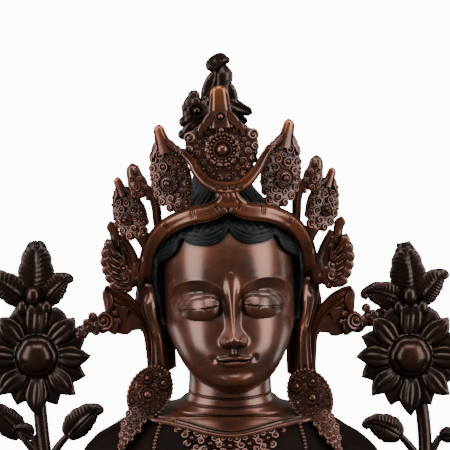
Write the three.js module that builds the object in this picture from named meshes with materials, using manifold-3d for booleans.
// Bust of a Tara, the goddess of South and Central Asian sculpture, in cast copper: a crowned head with long
// ears, a topknot and round earrings, on shoulders cut flat below, with a lotus on each side.
// Millimetres, +Z up. The goddess looks along -Y. The origin is on the flat underside, below the neck.

import * as THREE from 'three';
import { mergeVertices } from 'three/addons/utils/BufferGeometryUtils.js';
import Module from 'manifold-3d';

const wasm = await Module();
wasm.setup();
const { Manifold, Mesh } = wasm;

// Driving sizes
const FACE_HEIGHT = 75; // hairline to chin, twelve finger widths in the sculptor's canon
const CHIN_HEIGHT = 91; // chin above the underside
const HEAD_LEAN = 2.5; // degrees to the goddess's right
const HEAD_TURN = 2; // degrees to her left
const HEAD_BOW = 3; // degrees down
const SHOULDER_WIDTH = 166;
const CHEST_DEPTH = 70;
const NECK_WIDTH = 42;
const COLLAR_THICKNESS = 4.4;
const BAND_HEIGHT = 10.5; // diadem band
const BAND_THICKNESS = 5.2;
const LEAF_THICKNESS = 5.5; // diadem leaves
const EARRING_LENGTH = 29;
const EARRING_THICKNESS = 6;
const BLOSSOM_RADIUS = 27;
const BLOSSOM_DOME_RADIUS = 10.3;
const PETALS = 8; // in each of its two rows
const STALK_RADIUS = 3.2;
const SEAT_GAP = 0.4; // between pieces that touch
const FINENESS = 0.16; // facets that show less than this are merged

const FINGER = FACE_HEIGHT / 12; // the canon's unit, used for everything on the head
const DEGREE = Math.PI / 180;
const SIDES = { left: -1, right: 1 }; // as the viewer sees them

// Small helpers

const point = (x, y, z) => new THREE.Vector3(x, y, z);
const fingers = (x, y, z) => point(x, y, z).multiplyScalar(FINGER);
const bell = (distance, width) => Math.exp(-((distance / width) ** 2));
const step = (value, from, to) => THREE.MathUtils.smoothstep(value, from, to);
const spread = (count, make) => Array.from({ length: count }, (_, i) => make(i, i / count));
const between = (from, to, share) => from + (to - from) * share;

// A smooth function through a few [position, value] pairs.
function profile(pairs) {
  const slope = (i) => {
    const [before, after] = [pairs[Math.max(i - 1, 0)], pairs[Math.min(i + 1, pairs.length - 1)]];
    return (after[1] - before[1]) / (after[0] - before[0]);
  };
  return (at) => {
    const last = pairs.length - 1;
    if (at <= pairs[0][0]) return pairs[0][1];
    if (at >= pairs[last][0]) return pairs[last][1];
    const i = pairs.findIndex((pair) => pair[0] > at) - 1;
    const length = pairs[i + 1][0] - pairs[i][0];
    const t = (at - pairs[i][0]) / length;
    const [start, end] = [slope(i) * length, slope(i + 1) * length];
    const [t2, t3] = [t * t, t * t * t];
    return pairs[i][1] * (2 * t3 - 3 * t2 + 1) + start * (t3 - 2 * t2 + t)
      + pairs[i + 1][1] * (3 * t2 - 2 * t3) + end * (t3 - t2);
  };
}

// Solids from meshes

function solidFrom(positions, triangles) {
  const corner = (index) => point(...positions.slice(index * 3, index * 3 + 3));
  let volume = 0;
  for (let i = 0; i < triangles.length; i += 3) {
    const [a, b, c] = [0, 1, 2].map((k) => corner(triangles[i + k]));
    volume += a.dot(b.cross(c));
  }
  const facing = volume < 0 ? triangles.toReversed() : triangles;
  return new Manifold(new Mesh({
    numProp: 3,
    vertProperties: Float32Array.from(positions),
    triVerts: Uint32Array.from(facing),
  }));
}

function solidOf(geometry) {
  const bare = geometry.clone();
  ['normal', 'uv'].forEach((name) => bare.deleteAttribute(name));
  const merged = mergeVertices(bare, 1e-4);
  const index = Array.from(merged.index.array);
  const kept = [];
  for (let i = 0; i < index.length; i += 3) {
    const [a, b, c] = index.slice(i, i + 3);
    if (a !== b && b !== c && c !== a) kept.push(a, b, c);
  }
  return solidFrom(Array.from(merged.attributes.position.array), kept);
}

// A closed skin over rings of points. A ring of one point closes an end to a tip. A looped skin has no ends.
function loft(rings, looped = false) {
  const positions = [];
  const starts = rings.map((ring) => {
    const start = positions.length / 3;
    ring.forEach((p) => positions.push(p.x, p.y, p.z));
    return start;
  });
  const triangles = [];
  const fan = (ring, start, tip, flip) => ring.forEach((_, j) => {
    const [a, b] = [start + j, start + (j + 1) % ring.length];
    triangles.push(...(flip ? [b, a, tip] : [a, b, tip]));
  });
  const cap = (ring, start, flip) => {
    const middle = ring.reduce((sum, p) => sum.add(p), point(0, 0, 0)).divideScalar(ring.length);
    positions.push(middle.x, middle.y, middle.z);
    fan(ring, start, positions.length / 3 - 1, flip);
  };
  for (let i = 0; i + (looped ? 0 : 1) < rings.length; i += 1) {
    const after = (i + 1) % rings.length;
    const [low, high] = [rings[i], rings[after]];
    if (low.length === 1) fan(high, starts[after], starts[i], true);
    else if (high.length === 1) fan(low, starts[i], starts[after], false);
    else {
      low.forEach((_, j) => {
        const next = (j + 1) % low.length;
        const [a, b, c, d] = [starts[i] + j, starts[i] + next, starts[after] + j, starts[after] + next];
        triangles.push(a, b, d, a, d, c);
      });
    }
  }
  if (!looped && rings[0].length > 1) cap(rings[0], starts[0], true);
  if (!looped && rings.at(-1).length > 1) cap(rings.at(-1), starts.at(-1), false);
  return solidFrom(positions, triangles);
}

const joined = (...solids) => Manifold.union(solids.flat(Infinity));

// A casting has no sealed voids: small ones, left where pieces nearly touch, are filled.
const filled = (solid) => joined(solid.decompose().filter((shell) => shell.volume() > 0));

const placed = (solid, matrix) => solid.transform(matrix.elements);

const moved = (solid, to) => solid.translate([to.x, to.y, to.z]);

function geometryOf(solid) {
  const { vertProperties, triVerts } = solid.getMesh();
  return new THREE.BufferGeometry()
    .setAttribute('position', new THREE.BufferAttribute(vertProperties, 3))
    .setIndex(new THREE.BufferAttribute(triVerts, 1));
}

// The same solid with its skin moved out by the seat gap, which cuts a neighbour clear of it.
function roomFor(solid) {
  const geometry = geometryOf(solid);
  geometry.computeVertexNormals();
  const { position, normal } = geometry.attributes;
  const grown = Array.from(position.array, (value, i) => value + SEAT_GAP * normal.array[i]);
  return solidFrom(grown, Array.from(geometry.index.array));
}

// A bar along a path with a lens section: a leaf, petal, ribbon, lock or tube, by its width and depth.
// facing is the way its front looks. width, front and back are half sizes along the path's share 0 to 1.
function blade({ path, width, front, back = front, facing, steps = 8, sides = 8, looped = false }) {
  const curve = new THREE.CatmullRomCurve3(path, looped);
  const rings = spread(looped ? steps : steps + 1, (i) => {
    const share = i / steps;
    const middle = curve.getPointAt(share);
    const along = curve.getTangentAt(share);
    const across = point().crossVectors(along, facing).normalize();
    const out = point().crossVectors(across, along).normalize();
    return spread(sides, (_, turn) => {
      const angle = 2 * Math.PI * turn;
      const rise = Math.sin(angle) > 0 ? front(share) : back(share);
      return middle.clone()
        .addScaledVector(across, width(share) * Math.cos(angle))
        .addScaledVector(out, rise * Math.sin(angle));
    });
  });
  return loft(rings, looped);
}

const rod = (path, radius, options = {}) => {
  const size = typeof radius === 'function' ? radius : () => radius;
  return blade({ path, width: size, front: size, facing: point(0.31, -0.9, 0.3), sides: 6, ...options });
};

// A round boss. Small ones have twenty faces, and fine ones eighty.
const knob = (centre, radius, stretch = [1, 1, 1], detail = 0) => moved(
  solidOf(new THREE.IcosahedronGeometry(radius, detail).scale(...stretch)),
  centre,
);

// Head

const SKULL_HALF_WIDTH = profile([[0, 2.6], [0.4, 3.5], [0.8, 3.9], [1.5, 4.3], [2.5, 4.65], [4, 5],
  [5.5, 5.2], [8.3, 5.3], [10.4, 5.3], [12.5, 5.25], [13.8, 5], [15, 4.3], [16, 3.3], [16.8, 2.1],
  [17.3, 0.8]]);
const SKULL_FRONT = profile([[0, 4.9], [0.8, 5.6], [1.9, 5.95], [3.2, 6.05], [4.8, 5.95], [6.4, 5.9],
  [8.3, 6.15], [10, 6.3], [11.3, 6.2], [12.5, 5.85], [13.8, 5.4], [15, 4.6], [16, 3.6], [16.8, 2.3],
  [17.3, 0.8]]);
const SKULL_BACK = profile([[0, 0.6], [1.9, 2.6], [3.2, 4], [4.8, 5.1], [6.4, 5.8], [8.3, 6.2], [10.4, 6.2],
  [12.5, 5.8], [13.8, 5.2], [15, 4.3], [16, 3.3], [16.8, 2.1], [17.3, 0.8]]);
const SKULL_TOP = 17.3;
const JAW_RISE = 0.36; // how far the jaw climbs for each length it goes back
const JAW_TOP = 7; // fingers, where the jaw's slope has died away
const HEAD_COLUMNS = 30;
const HEAD_LEVELS = [0, 0.4, 0.8, 1.3, 1.75, 2.3, 2.68, 3, 3.4, 3.85, 4.2, 4.6, 5.2, 6, 6.6, 7, 7.5, 8.1, 8.7,
  9.3, 10.4, 11.6, 13];
const NOSE_HEIGHT = profile([[3.7, 0], [4.1, 1.15], [4.7, 1.5], [6, 1], [7.4, 0.55], [8.6, 0.25], [9.6, 0]]);

// How far a face stands forward of the plain skull at x and z, all in fingers. The canon gives the places:
// nose from the fourth to the eighth finger, eyes three fingers long and two apart, a mouth three wide.
function faceRelief(x, z) {
  const side = Math.abs(x);
  const nose = NOSE_HEIGHT(z) * bell(x, 0.5 + 0.14 * bell(z - 4.4, 1));
  const wings = 0.62 * bell(side - 0.8, 0.42) * bell(z - 4.25, 0.45);
  const socket = -0.5 * bell(side - 1.9, 1.2) * bell(z - 7.7, 0.75);
  const lid = 0.5 * bell(side - 2.55, 1.25) * bell(z - 6.95, 0.6);
  const browLine = 9 - (side < 2.7 ? 0.26 : 0.17) * (side - 2.7) ** 2;
  const brow = 0.16 * bell(z - browLine, 0.35) * step(side, 0.2, 0.8) * (1 - step(side, 4.2, 5));
  const cheek = 0.25 * bell(side - 2.9, 1.6) * bell(z - 4.2, 1.7);
  const muzzle = 0.35 * bell(x, 1.9) * bell(z - 2.7, 1.3);
  const mouth = 1 - step(side, 1.1, 1.6);
  const lips = mouth * (0.36 * bell(z - 3.0, 0.26) + 0.42 * bell(z - 2.33, 0.3) * bell(x, 1.2)
    - 0.22 * bell(z - 2.68, 0.14));
  const chin = 0.45 * bell(x, 1.35) * bell(z - 0.9, 0.8) - 0.22 * bell(x, 1) * bell(z - 1.72, 0.3);
  return nose + wings + socket + lid + brow + cheek + muzzle + lips + chin;
}

// A point on the head's skin in fingers, or as far outside it as proud says.
function skullPoint(angle, level, proud = 0) {
  const [across, ahead] = [Math.sin(angle), Math.cos(angle)];
  const depth = ahead > 0 ? SKULL_FRONT(level) : SKULL_BACK(level);
  const roundness = 2.25;
  const reach = proud + (Math.abs(across / SKULL_HALF_WIDTH(level)) ** roundness
    + Math.abs(ahead / depth) ** roundness) ** (-1 / roundness);
  const [x, y] = [reach * across, -reach * ahead];
  const slope = JAW_RISE * (1 - step(level, 0, JAW_TOP));
  return [x, y, level + slope * (SKULL_FRONT(level) + y)];
}

const closerInFront = (turn, share) => 2 * Math.PI * turn - share * Math.sin(2 * Math.PI * turn);

function face() {
  return loft(HEAD_LEVELS.map((level) => spread(HEAD_COLUMNS, (_, turn) => {
    const angle = closerInFront(turn, 0.6);
    const [x, y, z] = skullPoint(angle, level);
    return fingers(x, y - faceRelief(x, z) * step(Math.cos(angle), 0.15, 0.5), z);
  })));
}

const HAIR_RISE = 0.34; // fingers that the hair stands proud of the skin
const HAIR_COLUMNS = 30;
const HAIR_RINGS = 5;
// Height in fingers where the hair begins, by the angle from the front: two waves over each brow, then down
// behind the ears to the nape.
const HAIRLINE = profile([[0, 12.9], [0.08, 12.3], [0.28, 11.6], [0.5, 11.75], [0.67, 12.2], [0.74, 12],
  [0.95, 11.2], [1.2, 10.5], [1.5, 9.9], [1.72, 6], [1.85, 3.4], [3.14, 3.2]]);

function hairEdge(angle) {
  return HAIRLINE(Math.abs(Math.atan2(Math.sin(angle), Math.cos(angle))));
}

// The combed hair over the skull, as a cap that ends in a raised edge, or lower by the given fingers.
function hair(lower = 0) {
  const ring = (climb, proud) => spread(HAIR_COLUMNS, (_, turn) => {
    const angle = closerInFront(turn, 0.35);
    return fingers(...skullPoint(angle, between(hairEdge(angle) - lower, SKULL_TOP, climb), proud));
  });
  const rings = spread(HAIR_RINGS, (i, share) => ring(share ** 0.8, HAIR_RISE));
  return loft([ring(0, -0.4), ...rings, ring(1, HAIR_RISE)]);
}

const EAR_TOP = 9.2;
const LOBE_END = 1.7;

function ear(side) {
  const shell = blade({
    path: [fingers(6.0 * side, 0.5, EAR_TOP), fingers(6.4 * side, 0.2, 8), fingers(6.2 * side, 0.1, 6.2),
      fingers(5.75 * side, 0, 4.4), fingers(5.8 * side, 0, LOBE_END)],
    width: (t) => FINGER * between(0.35, 0.95, step(t, 0, 0.2)) * between(1, 0.6, step(t, 0.4, 0.7)),
    front: () => 0.4 * FINGER,
    facing: point(0.45 * side, -1, 0),
    steps: 9,
    sides: 6,
  });
  const rim = rod([fingers(5.4 * side, -0.5, 7.6), fingers(5.7 * side, -0.5, 9), fingers(6.6 * side, -0.4, 9),
    fingers(7.1 * side, -0.3, 7.6), fingers(6.7 * side, -0.3, 5.8), fingers(6.2 * side, -0.3, 4.6)],
  0.24 * FINGER, { steps: 9, sides: 4 });
  const root = knob(fingers(5.6 * side, 0.35, 8.5), 0.65 * FINGER, [1, 1, 1.5], 1);
  return joined(shell, rim, root);
}

const TOPKNOT_FOOT = 15.2;
const TOPKNOT_TOP = 20.5;

function topknot() {
  const outline = [[0, TOPKNOT_FOOT], [2.6, TOPKNOT_FOOT], [2.35, 16.4], [2.05, 17.6], [2, 18.8], [1.7, 19.8],
    [1, 20.3], [0, TOPKNOT_TOP]].map(([r, z]) => new THREE.Vector2(r * FINGER, z * FINGER));
  const lathe = new THREE.LatheGeometry(outline, 12).rotateX(Math.PI / 2);
  return moved(solidOf(lathe), fingers(-0.3, 0.8, 0));
}

// Neck, shoulders and chest, in the part's own frame

const NECK_TOP = CHIN_HEIGHT + 2.6 * FINGER;
const TORSO_COLUMNS = 28;
const SLEEVE_CREASE = 0.69; // share of the half width where arm meets chest

// Half width, front and back, each as a share of the shoulder's or the chest's, against height.
const neckShare = NECK_WIDTH / SHOULDER_WIDTH;
const TORSO_HEIGHTS = [0, 0.16, 0.32, 0.46, 0.58, 0.67, 0.745, 0.8, 0.845, 0.88, 0.91, 0.935, 0.96, 0.985,
  1.01, 1.18];
const TORSO_HALF_WIDTH = profile([[0, 0.97], [0.2, 1], [0.4, 0.985], [0.52, 0.95], [0.6, 0.92], [0.665, 0.88],
  [0.745, 0.795], [0.79, 0.72], [0.857, 0.6], [0.885, 0.48], [0.91, 0.36], [0.935, neckShare * 1.12],
  [0.98, neckShare], [1.18, neckShare * 0.98]]);
const TORSO_FRONT = profile([[0, 0.49], [0.3, 0.52], [0.5, 0.46], [0.65, 0.37], [0.76, 0.29], [0.83, 0.24],
  [0.88, 0.23], [0.96, 0.235], [1.18, 0.25]]);
const TORSO_BACK = profile([[0, 0.47], [0.3, 0.51], [0.5, 0.53], [0.65, 0.51], [0.76, 0.46], [0.84, 0.4],
  [0.9, 0.36], [0.96, 0.33], [1.18, 0.33]]);

function torsoPoint(angle, height) {
  const [across, ahead] = [Math.sin(angle), Math.cos(angle)];
  const halfWidth = TORSO_HALF_WIDTH(height) * SHOULDER_WIDTH / 2;
  const depth = (ahead > 0 ? TORSO_FRONT : TORSO_BACK)(height) * CHEST_DEPTH;
  const roundness = between(2.7, 2, step(height, 0.6, 0.92));
  const reach = (Math.abs(across / halfWidth) ** roundness
    + Math.abs(ahead / depth) ** roundness) ** (-1 / roundness);
  const share = Math.abs(reach * across) * 2 / SHOULDER_WIDTH;
  const low = 1 - step(height, 0.35, 0.62);
  const crease = -0.075 * CHEST_DEPTH * bell(share - SLEEVE_CREASE, 0.06) * low;
  const breast = 0.1 * CHEST_DEPTH * bell(share - 0.34, 0.2) * bell(height - 0.24, 0.2) * step(ahead, 0, 0.5);
  const neckCrease = -0.35 * Math.max(...[0.91, 0.96, 1.01].map((z) => bell(height - z, 0.008)));
  const out = crease + breast + neckCrease;
  const y = -reach * ahead - out * Math.sign(ahead);
  const tilt = 0.28 * step(height, 0.84, 0.9) * y; // the neck's folds dip to the front
  return point(reach * across, y + 0.04 * CHEST_DEPTH, height * CHIN_HEIGHT + tilt);
}

function torso() {
  return loft(TORSO_HEIGHTS.map((height) => spread(TORSO_COLUMNS, (_, turn) =>
    torsoPoint(2 * Math.PI * turn, height))));
}

// The collar's ring lies on the chest in front and on the shoulders beside the neck.
function collar() {
  const path = spread(12, (_, turn) => {
    const angle = 2 * Math.PI * turn;
    return torsoPoint(angle, between(0.745, 0.905, Math.min(1 - Math.cos(angle), 1)));
  });
  return rod(path, COLLAR_THICKNESS / 2, { facing: point(0, 0.05, 1), steps: 24, sides: 5, looped: true });
}

// The hair that falls from the back of the head to the shoulders.
function backHair() {
  const width = profile([[0, 4.8], [0.3, 4.2], [0.55, 2.9], [0.7, 3], [0.85, 4.8], [1, 6.4]]); // fingers
  const course = [[0.37, 8.3], [0.41, 4.5], [0.31, 0.6], [0.33, -1.9], [0.385, -4.8]]; // depth, fingers up
  return blade({
    path: course.map(([depth, rise]) => point(0, depth * CHEST_DEPTH, CHIN_HEIGHT + rise * FINGER)),
    width: (t) => width(t) * FINGER,
    front: () => 1.75 * FINGER,
    facing: point(0, -1, 0),
    steps: 8,
    sides: 8,
  });
}

// Diadem, in the head's frame

const CROWN_LINING = 1.6; // fingers that the crown's plain hollow reaches below the hairline
const SIDE_DROOP = 0.45; // fingers by which what hangs at the ears is lower on the right than it would be
const BAND_PATH = [[-6.35, 0.4, 8.6], [-6.05, -1.9, 10.5], [-4.85, -4.05, 12.4], [-3.1, -5.3, 13.6],
  [-1.5, -5.85, 14.15], [-0.55, -5.95, 14.5]];
const BAND_STEPS = 26;

function band() {
  const half = BAND_PATH.map((p) => fingers(...p));
  const mirrored = half.toReversed().map((p) => point(-p.x, p.y, p.z));
  const path = [...half, fingers(0, -5.97, 14.9), ...mirrored];
  return blade({
    path,
    width: () => BAND_HEIGHT / 2,
    front: () => BAND_THICKNESS / 2,
    facing: fingers(0, -1, 0.12),
    steps: BAND_STEPS,
    sides: 6,
  });
}

// Half outlines of the diadem's leaves from foot to tip: shares of the half breadth and of the length.
const FLAME_OUTLINE = [[0.26, 0], [0.36, 0.05], [0.76, 0.12], [0.96, 0.2], [0.94, 0.29], [1, 0.38],
  [0.84, 0.46], [0.8, 0.54], [0.58, 0.6], [0.44, 0.68], [0.38, 0.8], [0.28, 0.93], [0, 1]];
const MIDDLE_OUTLINE = [[0.2, 0], [0.5, 0.05], [0.8, 0.18], [0.87, 0.3], [0.82, 0.37], [0.98, 0.44],
  [1, 0.54], [0.86, 0.62], [0.64, 0.62], [0.6, 0.69], [0.42, 0.71], [0.27, 0.76], [0.26, 0.84],
  [0.18, 0.94], [0, 1]];

// A diadem leaf: a scalloped plate with a plain tongue above and a rosette on its body.
function diademLeaf({ outline, foot, tip, breadth, facing, hub = 0.34 }) {
  const front = facing.clone().normalize();
  const way = tip.clone().sub(foot);
  const across = point().crossVectors(way, front).normalize();
  const place = (u, v, lift) => foot.clone()
    .addScaledVector(way, v)
    .addScaledVector(across, 0.5 * breadth * u)
    .addScaledVector(front, lift * LEAF_THICKNESS - 0.12 * way.length() * v * (1 - v));
  const whole = [...outline, ...outline.slice(0, -1).toReversed().map(([u, v]) => [-u, v])];
  const stations = [[0.8, -0.4], [1, 0], [0.7, 0.5]]; // share of the outline, lift
  const plate = loft(stations.map(([share, lift]) =>
    whole.map(([u, v]) => place(u * share, hub + (v - hub) * share ** 0.3, lift))));
  const rosette = loft([[1, 0.1, 0], [1, 0.75, 0.1], [0.55, 0.9, 0.1], [0.42, 1.25, 0], [0, 1.5, 0]]
    .map(([share, lift, wave]) => (share ? spread(8, (i, turn) => {
      const reach = 0.56 * share * (1 + (i % 2 ? wave : -wave));
      const angle = 2 * Math.PI * turn;
      const rise = 0.5 * breadth / way.length() * reach * Math.sin(angle);
      return place(reach * Math.cos(angle), hub + rise, lift);
    }) : [place(0, hub, lift)])));
  return joined(plate, rosette);
}

const FAN_RIBS = 6;
// Reach in fingers by the angle in degrees, from below the level to past upright.
const FAN_REACH = profile([[-72, 1.38], [-22, 1.58], [11, 1.95], [39, 2.7], [57, 3.2], [78, 3.04],
  [104, 2.4]]);

// A shell of ribs that spread from a boss on the band's side.
function fan(side) {
  const hub = fingers(7.85 * side, -0.5, 9.2);
  const facing = point(0.3 * side, -1, 0).normalize();
  const across = point(side, 0.3, 0).normalize();
  const stations = [[0.15, 0.3, 0], [0.85, 0.5, 0.2], [1, 0.15, 0.1]]; // reach, depth, relief
  const corners = 2 * FAN_RIBS + 1;
  const rings = stations.map(([share, depth, relief]) => {
    const edge = (back) => spread(corners, (i) => {
      const degrees = between(104, -72, i / (corners - 1));
      const angle = degrees * DEGREE;
      const ridge = i % 2;
      const reach = share * FINGER * FAN_REACH(degrees) * (share > 0.8 && !ridge ? 0.93 : 1);
      const rise = back ? -0.5 * depth : depth + (ridge ? relief : -relief);
      return hub.clone()
        .addScaledVector(across, reach * Math.cos(angle))
        .add(point(0, 0, reach * Math.sin(angle)))
        .addScaledVector(facing, 0.8 * FINGER * rise);
    });
    return [...edge(false), ...edge(true).toReversed()];
  });
  const tongue = blade({
    path: [fingers(8.1 * side, -0.5, 11), fingers(8.55 * side, -0.6, 12.4), fingers(9.15 * side, -0.8, 13.5)],
    width: (t) => FINGER * between(0.75, 0.3, t),
    front: () => 0.3 * FINGER,
    facing,
    steps: 3,
    sides: 6,
  });
  const root = rod([fingers(6.2 * side, -0.8, 9.7), hub], 0.55 * FINGER, { steps: 2 });
  return joined(loft(rings), tongue, root, knob(hub, 0.9 * FINGER));
}

// A bud on a hooked stalk, between two leaves.
function bud(side) {
  const stalk = rod([fingers(5.2 * side, -3.8, 12), fingers(5.55 * side, -3.5, 14.6),
    fingers(5.8 * side, -3.4, 15.8), fingers(6.9 * side, -3.2, 16.3)], 0.45 * FINGER, { steps: 7 });
  const flower = blade({
    path: [fingers(6.9 * side, -3.2, 15.5), fingers(7.05 * side, -3.2, 17), fingers(7.15 * side, -3.2, 18.3)],
    width: (t) => FINGER * 0.62 * Math.sin(Math.PI * between(0.25, 0.9, t)),
    front: (t) => FINGER * 0.5 * Math.sin(Math.PI * between(0.25, 0.9, t)),
    facing: point(0.4 * side, -1, 0),
    steps: 5,
    sides: 8,
  });
  return joined(stalk, flower);
}

// The ribbon that ties the diadem: it hangs before the shoulder from behind the ear and flies out above it,
// with a leaf under it and a scroll that reaches out to the lotus.
function ribbon(side) {
  const facing = point(0.3 * side, -1, 0);
  const flat = (points, half, steps) => blade({
    path: points.map(([x, y, z]) => fingers(x * side, y, z)),
    width: (t) => FINGER * half(t),
    front: () => 0.28 * FINGER,
    facing,
    steps,
    sides: 4,
  });
  const flying = flat([[6.42, 0.85, LOBE_END], [6.5, 0.7, 4.6], [7.1, 0.5, 6.1], [8.4, 0.2, 7.6],
    [9.55, 0.1, 8.4]], (t) => between(0.34, 0.56, step(t, 0.3, 0.6)), 10);
  const sail = flat([[6.7, 0.6, 4.5], [8.15, 0.4, 5.65], [9.45, 0.4, 7.3]],
    profile([[0, 0.25], [0.5, 1.15], [1, 0.55]]), 6);
  const scroll = flat([[9.2, 0.3, 6], [10.1, 0.3, 6.2], [11, 0.3, 5.7], [12.1, 0.3, 5]],
    (t) => between(0.75, 0.45, t), 6);
  const tip = rod([fingers(9.4 * side, 0.1, 8.2), fingers(9.8 * side, 0.1, 8.6)], 0.5 * FINGER, { steps: 2 });
  const link = rod([[6.4, 0.9, 9.6], [7.25, 1.3, 7.2], [6.9, 0.9, 4.4]].map(([x, y, z]) =>
    fingers(x * side, y, z)), 0.55 * FINGER, { steps: 5 });
  return joined(flying, sail, scroll, tip, link);
}

// The crescent that holds the middle leaf, with a round bead on each horn.
function crescent() {
  const path = spread(9, (i) => {
    const angle = between(-1.35, 1.35, i / 8);
    return fingers(3.6 * Math.sin(angle), -6.4, 19.9 - 4.1 * Math.cos(angle) ** 0.8);
  });
  const horns = [path[0], path.at(-1)].map((end) => knob(end, 0.42 * FINGER));
  const thickness = (t) => FINGER * (0.26 + 0.2 * Math.sin(Math.PI * t));
  return joined(rod(path, thickness, { steps: 12, sides: 5 }), horns);
}

function crown() {
  const middle = diademLeaf({
    outline: MIDDLE_OUTLINE,
    foot: fingers(0, -6.1, 15),
    tip: fingers(0, -6.3, 24.1),
    breadth: 6.3 * FINGER,
    facing: point(0, -1, 0),
    hub: 0.43,
  });
  const flanking = Object.values(SIDES).map((side) => [
    diademLeaf({
      outline: FLAME_OUTLINE,
      foot: fingers(3.9 * side, -5.2, 13.7),
      tip: fingers(5.5 * side, -5.1, 21.1),
      breadth: 3.5 * FINGER,
      facing: point(0.35 * side, -1, 0),
    }),
    diademLeaf({
      outline: FLAME_OUTLINE,
      foot: fingers(6.6 * side, -2.6, 11),
      tip: fingers(8.9 * side, -2.2, 17.3),
      breadth: 2.8 * FINGER,
      facing: point(0.5 * side, -1, 0),
    }),
    bud(side),
    moved(fan(side), fingers(0, 0, -0.5 * SIDE_DROOP * side)),
    moved(ribbon(side), fingers(0, 0, -SIDE_DROOP * side)),
  ]);
  return joined(band(), middle, crescent(), flanking);
}

// Ornament on the topknot, in the head's frame

function topknotFinial() {
  const outline = [[0, 18.3], [2.3, 18.3], [2.45, 19.4], [1.9, 20.8], [1.45, 22], [1, 23.3], [0.8, 24.2],
    [1.05, 25.1], [0.85, 25.9], [0, 26.1]].map(([r, z]) => new THREE.Vector2(r * FINGER, z * FINGER));
  const lathe = new THREE.LatheGeometry(outline, 10).rotateX(Math.PI / 2);
  const body = moved(solidOf(lathe), fingers(-0.2, 0.8, 0));
  const petals = spread(6, (i) => {
    const angle = between(0.7, 4.2, i / 5);
    return knob(fingers(-2.2 + 1.1 * Math.cos(angle), -0.1, 20.9 + 1.25 * Math.sin(angle)), 0.66 * FINGER);
  });
  const flower = knob(fingers(-2.1, -0.2, 20.9), 1.2 * FINGER, [1, 0.6, 1]);
  const leaf = blade({
    path: [fingers(0.6, 0.4, 20.6), fingers(1.9, 0.2, 21.6), fingers(2.9, 0.1, 21.9)],
    width: (t) => FINGER * between(1.1, 0.35, t),
    front: () => 0.35 * FINGER,
    facing: point(0, -1, 0),
    steps: 4,
    sides: 6,
  });
  const crest = knob(fingers(-0.25, 0.7, 26.1), 0.8 * FINGER, [1.1, 0.9, 0.9], 1);
  return joined(body, petals, flower, leaf, crest);
}

// Earrings, in the part's own frame

// The middle of each disc hangs this many fingers out and millimetres below the chin.
const EARRING_PLACES = { left: [6.4, 2], right: [6.4, 3.5] };
const EARRING_FORWARD = 6;
// The pendant's course from the disc's middle, as shares of the earring's length: out, back and up.
const PENDANT_COURSE = [[0.19, -0.14, -0.34], [0.345, -0.35, -0.63], [0.51, -0.59, -0.99]];
const EARRING_TILT = 28; // degrees, the foot of the disc outwards
const EARRING_SLOPE = 15; // degrees, the foot of the disc forwards
const RIM_BEADS = 12;

function earring(side, [out, below]) {
  const half = EARRING_LENGTH / 2;
  const centre = point(out * FINGER * side, -EARRING_FORWARD, CHIN_HEIGHT - below);
  const stations = [[0.92, 0.45, 1], [1, -0.2, 1], [0.8, -0.35, 0], [0.45, -0.6, 0]]; // reach, depth, beads
  const disc = loft(stations.map(([share, depth, beads]) => spread(2 * RIM_BEADS, (i, turn) => {
    const reach = half * share * (1 + 0.05 * beads * (i % 2));
    const angle = 2 * Math.PI * turn;
    return point(0.74 * reach * Math.cos(angle), depth * EARRING_THICKNESS, reach * Math.sin(angle));
  })));
  const bossPlaces = [[0.05, -0.15, 0.32], [-0.1, 0.5, 0.24]];
  const bosses = bossPlaces.map(([x, z, radius]) =>
    knob(point(x * half, -0.5 * EARRING_THICKNESS, z * half), radius * half, [1, 0.8, 1]));
  const lie = new THREE.Euler(-EARRING_SLOPE * DEGREE, -EARRING_TILT * side * DEGREE, 0, 'YXZ');
  const tilt = new THREE.Matrix4().makeRotationFromEuler(lie).setPosition(centre);
  const pendant = blade({
    path: PENDANT_COURSE.map(([x, y, z]) => point(x * side, y, z).multiplyScalar(EARRING_LENGTH).add(centre)),
    width: (t) => half * 0.45 * between(1, 0.35, t ** 2) * Math.sin(Math.PI * between(0.3, 0.8, t)),
    front: () => 0.4 * EARRING_THICKNESS,
    facing: point(0, -1, 0.35),
    steps: 6,
    sides: 6,
  });
  return joined(placed(joined(disc, bosses), tilt), pendant);
}

// Lotuses, in the part's own frame

const ARM = SHOULDER_WIDTH / 2; // the arm's outer side
const BLOSSOM_RISE = 16; // blossom's middle above the chin
// blossom is how far its middle is outside the arm. The stalk runs down through points given as out from the
// arm, back, and share of the chin's height. Leaves reach by shares of the blossom's radius, and the top ones
// give their breadth too.
const LOTUS = {
  left: {
    blossom: 13.5,
    stalk: [[12.5, 3, 0.92], [10, 4, 0.66], [6.5, 3, 0.44], [2.5, 2, 0.22], [1, 2, 0]],
    top: [[-0.03, 1.2, 0.6], [-0.95, 0.45, 0.5], [0.68, 0.57, 0.5]],
    low: [[0.62, 0.2], [-0.85, 0.12]],
  },
  right: {
    blossom: 7,
    stalk: [[12.5, 3, 0.92], [14.8, 4, 0.66], [13.5, 3, 0.46], [6, 2, 0.22], [1, 2, 0]],
    top: [[-0.12, 1.17, 0.6], [-0.88, 0.18, 0.5], [0.66, 0.62, 0.5]],
    low: [[-1.05, 0.05], [0.6, 0.15]],
  },
};

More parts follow.
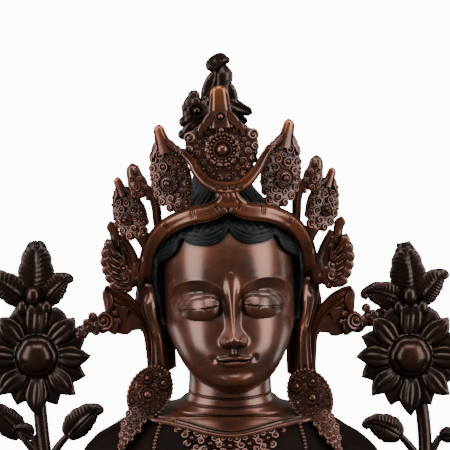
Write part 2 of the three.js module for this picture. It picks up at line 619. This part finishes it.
// Both rows of petals as a single skin: out along the back, over the rim and in again over the front.
// Round the flower go a front petal's ridge, a notch, a back petal's ridge and a notch.
function petals() {
  const perPair = [[1, 1], [0.84, 0], [0.98, -0.6], [0.84, 0]]; // reach and relief
  // Shares of the blossom's radius: reach, depth and relief.
  const stations = [[0.3, 0.11, 0], [0.75, 0.075, 0], [1, 0.007, 0.022], [0.72, -0.096, 0.06],
    [0.36, -0.022, 0.03]];
  return loft(stations.map(([share, depth, relief]) => spread(PETALS * perPair.length, (i, turn) => {
    const [reach, rise] = perPair[i % perPair.length];
    const angle = Math.PI / 2 + 2 * Math.PI * turn;
    const out = share * between(1, reach, step(share, 0.3, 0.95));
    return point(out * Math.cos(angle), depth - relief * rise, out * Math.sin(angle))
      .multiplyScalar(BLOSSOM_RADIUS);
  })));
}

const LOTUS_LEAF_THICKNESS = 2.6;

function leaf(from, to, breadth) {
  const way = to.clone().sub(from);
  const bend = point(0, -0.1, 0.12).multiplyScalar(way.length());
  return blade({
    path: [from, from.clone().addScaledVector(way, 0.5).add(bend), to],
    width: (t) => 0.5 * breadth * Math.max(Math.sin(Math.PI * Math.min(1.02 * t ** 0.8, 1)), 0.12),
    front: () => LOTUS_LEAF_THICKNESS / 2,
    facing: point(0, -1, 0),
    steps: 6,
    sides: 4,
  });
}

function lotus(side, { blossom, stalk, top, low }) {
  const size = BLOSSOM_RADIUS;
  const shares = (x, y, z) => point(x, y, z).multiplyScalar(size);
  const middle = point((ARM + blossom) * side, -0.075 * size, CHIN_HEIGHT + BLOSSOM_RISE);
  const course = stalk.map(([out, back, height]) => point((ARM + out) * side, back, height * CHIN_HEIGHT));
  const calyx = knob(shares(0, 0.11, 0), 0.45 * size, [1, 0.5, 1]);
  const dome = knob(shares(0, -0.075, 0), BLOSSOM_DOME_RADIUS, [1, 0.6, 1], 1);
  const crestFoot = shares(0.02, 0.04, 0.97);
  const crest = [
    rod([shares(0, 0.075, 0.5), crestFoot], 0.16 * size, { steps: 3 }),
    top.map(([x, z, breadth]) => leaf(crestFoot, crestFoot.clone().add(shares(x, 0, z)), breadth * size)),
    knob(crestFoot.clone().add(shares(0.05, -0.11, 0.12)), 0.13 * size, [1, 1, 1.4]),
  ];
  const fork = course[1].clone().lerp(course[2], 0.5);
  const lowLeaves = low.map(([x, z]) => {
    const knee = course[1].clone().add(shares(0.28 * x, 0, 0.02));
    const foot = course[1].clone().add(shares(0.5 * x, 0, 0.25));
    const tip = course[1].clone().add(shares(1.2 * x, -0.075, 0.6 + z));
    return [rod([fork, knee, foot], 0.6 * STALK_RADIUS, { steps: 5 }), leaf(foot, tip, 0.42 * size)];
  });
  const flower = moved(joined(petals(), calyx, dome, crest), middle);
  const base = middle.clone().add(shares(0, 0.11, -0.3));
  const beneath = course.at(-1).clone().setZ(-STALK_RADIUS);
  const stem = rod([base, ...course, beneath], STALK_RADIUS, { steps: 14, sides: 6 });
  return joined(flower, stem, lowLeaves);
}

// Assembly

const bronze = (name, color) => new THREE.MeshStandardMaterial({
  name,
  color,
  metalness: 0.85,
  roughness: 0.38,
});

function mesh(name, solid, material) {
  const made = new THREE.Mesh(geometryOf(filled(solid.asOriginal().simplify(FINENESS))), material);
  made.name = name;
  return made;
}

const headFrame = new THREE.Group();
headFrame.position.set(1.5, 0, CHIN_HEIGHT);
headFrame.rotation.set(HEAD_BOW * DEGREE, -HEAD_LEAN * DEGREE, HEAD_TURN * DEGREE, 'YXZ');
headFrame.updateMatrix();

const ground = 3 * SHOULDER_WIDTH;
const underside = solidOf(new THREE.BoxGeometry(ground, ground, ground).translate(0, 0, -ground / 2));

const bareHead = joined(face(), hair(), ear(SIDES.left), ear(SIDES.right), topknot());
const solidHead = placed(bareHead, headFrame.matrix);
const body = joined(torso(), collar(), backHair(), solidHead).subtract(underside);
const bodyRoom = roomFor(body);
const lining = hair(CROWN_LINING); // the crown's hollow is plain where it passes the hair's edge
const diadem = crown().subtract(roomFor(bareHead)).subtract(roomFor(lining));
const finial = topknotFinial().subtract(roomFor(bareHead)).subtract(roomFor(diadem));
const diademRoom = placed(roomFor(diadem), headFrame.matrix);

const tara = new THREE.Group();
const dark = bronze('brown_copper', 0x3a1c10);
tara.add(mesh('figure', body, dark));
headFrame.add(mesh('crown', diadem, bronze('crown_copper', 0x4a2414)));
headFrame.add(mesh('topknot_finial', finial, dark));
tara.add(headFrame);
Object.entries(SIDES).forEach(([name, side]) => {
  const drop = earring(side, EARRING_PLACES[name]).subtract(bodyRoom).subtract(diademRoom);
  const flower = lotus(side, LOTUS[name]).subtract(bodyRoom).subtract(diademRoom).subtract(underside);
  tara.add(mesh(`earring_${name}`, drop, dark));
  tara.add(mesh(`lotus_${name}`, flower, dark));
});

export default tara;
